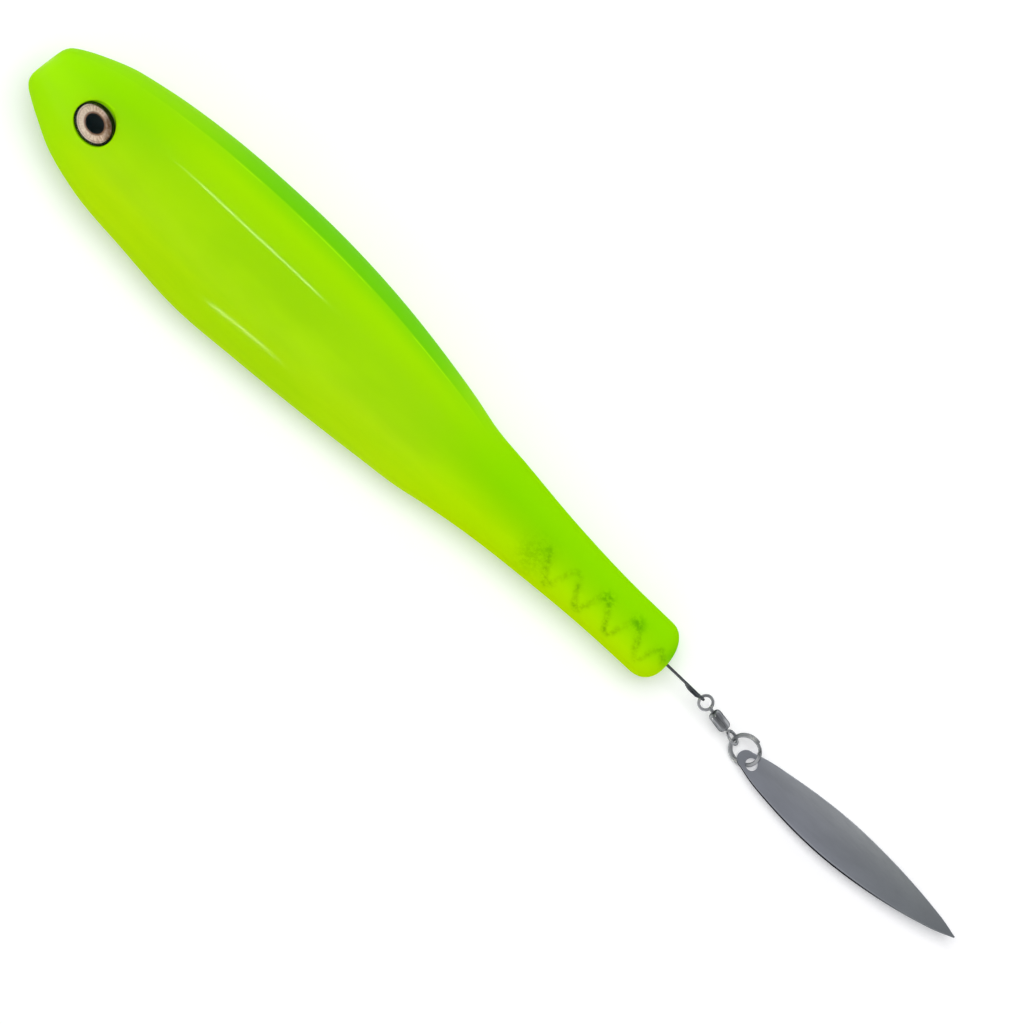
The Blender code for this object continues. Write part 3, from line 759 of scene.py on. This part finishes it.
def metal_material(name, dark, light, roughness, grain=(1, 1, 1), streaks=0.12):
    """Plated wire: fine drawn grain, faint tarnish and uneven gloss, with a near-black edge tint that
    paints shade along its edges.
    """
    s = Shader(name)
    spot = s.spot()
    tarnish = s.noise(spot, 0.3, 3, 0.5)
    fine = s.noise(s.scaled(spot, grain), 5.0, 3, 0.6)
    colour = s.mix(s.ramp(tarnish, 0.3, 0.72), dark, light)
    colour = s.mix(s.ramp(fine, 0.35, 0.68, 0, streaks), colour, linear(70, 74, 78))
    s.set(
        Base_Color=colour,
        Metallic=1.0,
        Roughness=s.ramp(fine, 0.25, 0.75, roughness - 0.04, roughness + 0.05),
        # painted shade: the near-black edge tint darkens the metal along its edges
        Specular_Tint=DARK_EDGE,
    )
    s.bump(fine, 0.06, 0.00005)
    return s.material


def blade_material():
    """Satin black nickel, greyer to the tip, with painted shade along its belly edge, a painted highlight
    line just inside it, and a painted highlight along its back edge.
    """
    s = Shader("blade_nickel")
    spot = s.spot()
    x = s.axis(spot, "X")
    across = s.read("across")
    clouds = s.noise(s.scaled(spot, (0.08, 0.3, 1)), 1.0, 3, 0.5)
    grain = s.noise(s.scaled(spot, (0.05, 0.5, 1)), 5.0, 3, 0.6)
    root, tip = linear(166, 170, 180), linear(150, 155, 161)
    colour = s.mix(s.ramp(x, 12, 46), root, tip)
    colour = s.mix(s.ramp(clouds, 0.3, 0.7, 0.25, 0), colour, linear(130, 134, 140))
    colour = s.mix(s.ramp(x, 42, 54, 0, 0.35), colour, linear(120, 124, 128))
    fade = s.ramp(x, 46, 30, 0.25, 1.0)
    # painted highlight: a light line just inside the belly edge, where its rim catches the light
    painted_rim_highlight = s.math("MULTIPLY", s.band(across, -0.9, 0.035, 0.01), s.math("MULTIPLY", fade, 0.5))
    colour = s.mix(painted_rim_highlight, colour, linear(196, 200, 206))
    # painted shade: the belly edge, turned away from the light
    dark = s.math("MULTIPLY", s.ramp(across, -0.935, -0.955), fade)
    colour = s.mix(dark, colour, linear(26, 28, 34))
    # painted highlight along the back edge, where the light catches it
    colour = s.mix(s.ramp(across, 0.95, 0.975, 0, 0.6), colour, linear(186, 190, 196))
    s.set(Base_Color=colour, Metallic=1.0, Roughness=s.ramp(grain, 0.25, 0.75, 0.5, 0.58))
    s.bump(grain, 0.06, 0.00005)
    return s.material


def coil_points():
    """The corkscrew's line, closing in on the shank over its last part turn."""
    count = round(COIL_TURNS * COIL_POINTS_PER_TURN)
    length = COIL_TURNS * COIL_PITCH
    points = []
    for i in range(count + 1):
        turns_left = COIL_TURNS * (1 - i / count)
        closing = min(1.0, turns_left / COIL_RUNOUT_TURNS)
        radius = COIL_RADIUS * math.sin(closing * math.pi / 2)
        angle = COIL_PHASE - 2 * math.pi * turns_left
        x = -COIL_END - length * turns_left / COIL_TURNS
        points.append((x, radius * math.cos(angle), radius * math.sin(angle)))
    return moved(points, turn(COIL_TILT, "Z"))


def loop_points():
    """The shank, the loop at its end and the wire's end doubled back beside the shank."""
    knee = LOOP_CENTRE + LOOP_RADIUS / math.cos(LOOP_WRAP)
    points = [(x, 0, 0) for x in np.linspace(0, knee, 16)[:-1]]
    for step in range(2 * LOOP_STEPS + 1):
        angle = LOOP_WRAP * (1 - step / LOOP_STEPS)
        below = max(0.0, -angle / LOOP_WRAP)
        x = LOOP_CENTRE + LOOP_RADIUS * math.cos(angle)
        points.append((x, -TAG_OFFSET * below**2, LOOP_RADIUS * math.sin(angle)))
    leaving_x, _, leaving_z = points[-1]
    for share in np.linspace(0, 1, 8)[1:]:
        x = leaving_x + (knee - leaving_x) * share
        points.append((x, -TAG_OFFSET, leaving_z * (1 - share) ** 2))
    for share in np.linspace(0, 1, 7)[1:]:
        points.append((knee - TAG_LENGTH * share, -TAG_OFFSET * (1 - TAG_TUCK * share**2), 0))
    return np.array(points)


def ring_line(centre, radius, count=96):
    """A circle square to z, centred on x."""
    angles = np.linspace(0, 2 * math.pi, count, endpoint=False)
    return np.column_stack((centre + radius * np.cos(angles), radius * np.sin(angles), 0 * angles))


def make_swivel_eye(name, frame, centre, stem_end, material):
    """A ring centred on x, and a stem that flares into it."""
    ring = wire(name + "_ring", ring_line(centre, RING_RADIUS), RING_WIRE, frame, material, closed=True)
    way = math.copysign(1, stem_end - centre)
    start = centre + way * (RING_RADIUS - 0.05 * MM)
    length = abs(stem_end - start)
    profile = (
        (0, 0),
        (STEM_RADIUS * 1.5, 0),
        (STEM_RADIUS * 1.25, 0.25 * MM),
        (STEM_RADIUS, 0.6 * MM),
        (STEM_RADIUS, length),
        (0, length),
    )
    stem_frame = frame @ offset(start) @ turn(way * math.pi / 2, "Y")
    stem = turned(name + "_stem", profile, stem_frame, material, 32)
    return joined(name, [ring, stem])


def barrel_profile():
    """Closed outline of the hollow barrel: each half has a bore, a mouth, a face and a shoulder."""
    face, mouth, bore = 0.78 * MM, 0.5 * MM, 0.98 * MM
    lip, taper, rise, shoulder = 0.05 * MM, 0.35 * MM, 0.03 * MM, 0.82 * MM
    edge = face + 0.1 * MM
    half = [(bore, BARREL_WALL + taper), (mouth, BARREL_WALL), (mouth, lip), (mouth + lip, 0), (face, 0)]
    half.append((edge, rise))
    for angle in np.linspace(0, math.pi / 2, 9)[1:]:
        along = rise + shoulder * (1 - math.cos(angle))
        half.append((edge + (BARREL_RADIUS - edge) * math.sin(angle), along))
    return half + [(r, BARREL_LENGTH - h) for r, h in reversed(half)]


def split_line(centre):
    """The split ring's line of nearly two turns, square to z."""
    radius = SPLIT_RADIUS + SPLIT_SPREAD
    share = np.linspace(0, 1, SPLIT_POINTS + 1)
    angles = SPLIT_START + 2 * math.pi * SPLIT_TURNS * share
    heights = SPLIT_PITCH * SPLIT_TURNS * (share - 0.5)
    line = np.column_stack((radius * np.cos(angles), radius * np.sin(angles), heights))
    return line + np.array(centre)


def blade_bowl(x, y):
    """How far the bowed and cupped blade rises above its lowest place."""
    along = x - BLADE_LOWEST
    return along**2 / (2 * BLADE_BOW_RADIUS) + y**2 / (2 * BLADE_CUP_RADIUS)


def blade_sections():
    """Closed sections across the blade with rounded edges, from the blunt end to the tip."""
    table = np.array(BLADE_OUTLINE) * MM
    outline = []
    for angle in np.radians(np.linspace(6, 80, 14)):
        outline.append((BLADE_END_RADIUS * (1 - math.cos(angle)), BLADE_END_RADIUS * math.sin(angle)))
    along = np.linspace(table[0, 0], table[-1, 0], 150)
    outline += list(zip(along, smooth(table[:, 0], table[:, 1], along)))
    base = blade_bowl(0, 0)
    half = BLADE_THICK / 2
    sections = []
    for distance, width in outline:
        x = distance - BLADE_HOLE_FROM_END
        lip = min(BLADE_LIP, width / 3)
        across = np.linspace(-(width - lip), width - lip, 33)
        over = [(x, y, blade_bowl(x, y) - base + half) for y in across]
        edge = blade_bowl(x, width) - base
        right = [(x, width, edge + half - lip), (x, width, edge - half + lip)]
        under = [(x, y, blade_bowl(x, y) - base - half) for y in across[::-1]]
        left = [(x, -width, edge - half + lip), (x, -width, edge + half - lip)]
        sections.append(np.array(over + right + under + left))
    return sections


def make_blade(frame, material):
    """The blade, with how far across it each point is, and its hole cut at the frame's origin."""
    sections = blade_sections()
    blade = lofted("spinner_blade", sections, frame, material, sharp=CRISP)
    keep(blade.data, "across", np.concatenate([s[:, 1] / s[:, 1].max() for s in sections]))
    reach = 2 * MM
    hole = ((0, -reach), (BLADE_HOLE, -reach), (BLADE_HOLE, reach), (0, reach))
    cut(blade, turned("hole_cutter", hole, frame, material))
    return blade


def make_chain(joints, metals):
    """The swivel, split ring and blade, each placed by its joint."""
    places = {j["name"]: (Vector(j["pos_m"]), Vector(j["axis"])) for j in joints}
    loop_at, loop_axis = places["front_eye_swing"]
    barrel_at, spin = places["barrel_spin"]
    rear_at, _ = places["rear_eye_spin"]
    ring_at, ring_up = places["ring_swing"]
    _, blade_axis = places["blade_swing"]

    front_frame = frame_at(loop_at, spin, loop_axis)
    barrel_start = RING_HANG + BARREL_FRONT
    stem_end = barrel_start + STEM_REACH
    front = make_swivel_eye("front_swivel_eye", front_frame, RING_HANG, stem_end, metals["swivel"])
    rebuild(front, "front_eye", "swivel_front_eye")
    barrel_frame = frame_at(barrel_at, spin, loop_axis) @ turn(math.pi / 2, "Y")
    barrel = turned("swivel_shell", barrel_profile(), barrel_frame, metals["barrel"], sharp=40)
    rebuild(barrel, "barrel", "swivel_barrel")
    lies = ring_up.cross((1, 0, 0))
    rear_frame = frame_at(rear_at, spin, lies - lies.dot(spin) * spin)
    rear_centre = RING_HANG + REAR_RING - barrel_start - BARREL_LENGTH
    rear = make_swivel_eye("rear_swivel_eye", rear_frame, rear_centre, -STEM_REACH, metals["swivel"])
    rebuild(rear, "rear_eye", "swivel_rear_eye")

    ring_frame = frame_at(ring_at, (1, 0, 0), ring_up)
    centre = ring_at - RING_RADIUS * spin + SPLIT_HANG * spin + Vector((SPLIT_RADIUS, 0, 0))
    line = split_line(ring_frame.inverted() @ centre)
    ring = wire("two_turn_ring", line, SPLIT_WIRE, ring_frame, metals["ring"], flat=SPLIT_FLAT)
    rebuild(ring, "ring", "split_ring")

    reach = blade_axis.cross(ring_up)
    hole = Matrix.Translation(centre + (SPLIT_RADIUS + BLADE_SLACK) * reach)
    blade = make_blade(hole @ turn(BLADE_YAW, "Z") @ turn(BLADE_ROLL, "X"), metals["blade"])
    rebuild(blade, "blade", "willow_blade")


# Stage


def area_light(name, way, distance, size, power, colour=(1, 1, 1), glint=False):
    """A rectangular lamp out along a direction, facing the lure, its longer side along x.

    It either lights the lure or, as a glint, is only mirrored in it.
    """
    lamp = bpy.data.lights.new(name, "AREA")
    lamp.shape = "RECTANGLE"
    lamp.size, lamp.size_y = size
    lamp.energy = power
    lamp.color = colour
    obj = bpy.data.objects.new(name, lamp)
    bpy.context.scene.collection.objects.link(obj)
    way = Vector(way).normalized()
    obj.matrix_world = frame_at(AIM + distance * way, (1, 0, 0), way)
    obj.visible_camera = False
    obj.visible_glossy = glint
    obj.visible_transmission = not glint
    obj.visible_diffuse = not glint


def make_world():
    """A light tent: pale all round, with a darker opening overhead."""
    world = bpy.data.worlds.new("tent")
    bpy.context.scene.world = world
    world.use_nodes = True
    tree = world.node_tree
    place = tree.nodes.new("ShaderNodeTexCoord")
    split = tree.nodes.new("ShaderNodeSeparateXYZ")
    ramp = tree.nodes.new("ShaderNodeValToRGB")
    tree.links.new(place.outputs["Generated"], split.inputs[0])
    tree.links.new(split.outputs["Z"], ramp.inputs[0])
    stops = ((0.0, 1.0), (0.2, 0.92), (0.4, 0.52), (0.9, 0.42))
    while len(ramp.color_ramp.elements) < len(stops):
        ramp.color_ramp.elements.new(0.5)
    for element, (place_at, value) in zip(ramp.color_ramp.elements, stops):
        element.position = place_at
        element.color = (value, value, value * 1.02, 1)
    tree.links.new(ramp.outputs[0], tree.nodes["Background"].inputs[0])
    tree.nodes["Background"].inputs[1].default_value = 1.0


def make_floor(height):
    """A plain white table top."""
    s = Shader("white_table")
    spot = s.spot()
    tone = s.noise(spot, 0.05, 2, 0.5)
    s.set(
        Base_Color=s.mix(tone, (0.86, 0.86, 0.87, 1), (0.9, 0.9, 0.9, 1)),
        Roughness=0.9,
        Specular_IOR_Level=0.0,
        Emission_Color=(1, 1, 1, 1),
        Emission_Strength=0.16,
    )
    half = 2.0
    corners = [(-half, -half, 0), (half, -half, 0), (half, half, 0), (-half, half, 0)]
    floor = piece("table", corners, [(0, 1, 2, 3)], offset(0, 0, height), s.material)


def make_camera():
    """A long lens straight above the lure."""
    camera = bpy.data.cameras.new("camera")
    camera.lens = LENS
    camera.sensor_width = SENSOR
    distance = FIELD * LENS / SENSOR
    camera.clip_start, camera.clip_end = 0.1, 4 * distance
    obj = bpy.data.objects.new("camera", camera)
    bpy.context.scene.collection.objects.link(obj)
    obj.matrix_world = Matrix.Translation(AIM + Vector((0, 0, distance))) @ turn(VIEW_TURN, "Z")
    bpy.context.scene.camera = obj


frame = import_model()
cad_low, cad_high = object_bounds()

BODY = body_frame()
SHANK = Matrix.Translation(BODY @ Vector((BODY_LENGTH, EXIT_Y, 0))) @ turn(REST_PITCH, "Y")
METALS = {
    "wire": metal_material("wire_steel", linear(74, 78, 80), linear(102, 106, 110), 0.3, (0.2, 1, 1)),
    "swivel": metal_material("swivel_nickel", linear(136, 139, 142), linear(196, 198, 200), 0.32),
    "barrel": metal_material(
        "barrel_nickel", linear(150, 153, 156), linear(206, 208, 210), 0.3, (0.35, 0.35, 0.03), 0.7
    ),
    "ring": metal_material("ring_nickel", linear(132, 135, 138), linear(198, 200, 202), 0.32),
    "blade": blade_material(),
}
coil_world = moved(coil_points() * (1, COIL_SHADE_SHARE, COIL_SHADE_SHARE), SHANK)
skin = make_body(BODY, coil_world, cad_low.z, plastic_material())
EYES = {"print": iris_material(), "dome": dome_material()}
PAD_SHADE = pad_shade_material()
for side_name, side in (("left", 1), ("right", -1)):
    place = eye_frame(side, BODY)
    cut_socket(skin, place)
    make_eye(side_name, place, EYES)
    frame["nodes"][f"{side_name}_eye_pad"].data.materials.clear()
    frame["nodes"][f"{side_name}_eye_pad"].data.materials.append(PAD_SHADE)
rebuild(skin, "lure_body", "soft_body")

tail = wire("tail_wire", np.vstack((coil_points(), loop_points())), WIRE_RADIUS, SHANK, METALS["wire"])
rebuild(tail, "lure_body", "tail_screw")
make_chain(frame["joints"], METALS)

make_floor(cad_low.z)
make_world()
make_camera()
area_light("key", (-0.1, 0.24, 0.96), 1.6, (1.4, 1.1), power=17)
area_light("strip", (0.0, -0.108, 0.99), 1.5, (0.33, 0.05), 2.3, WARM, glint=True)
area_light("faint_strip", (-0.148, -0.11, 0.98), 1.5, (0.13, 0.045), 0.3, WARM, glint=True)
area_light("low_spot", (-0.01, -1.0, 0.022), 1.0, (0.05, 0.015), 0.26, WARM, glint=True)
bpy.context.scene.view_settings.view_transform = "Standard"
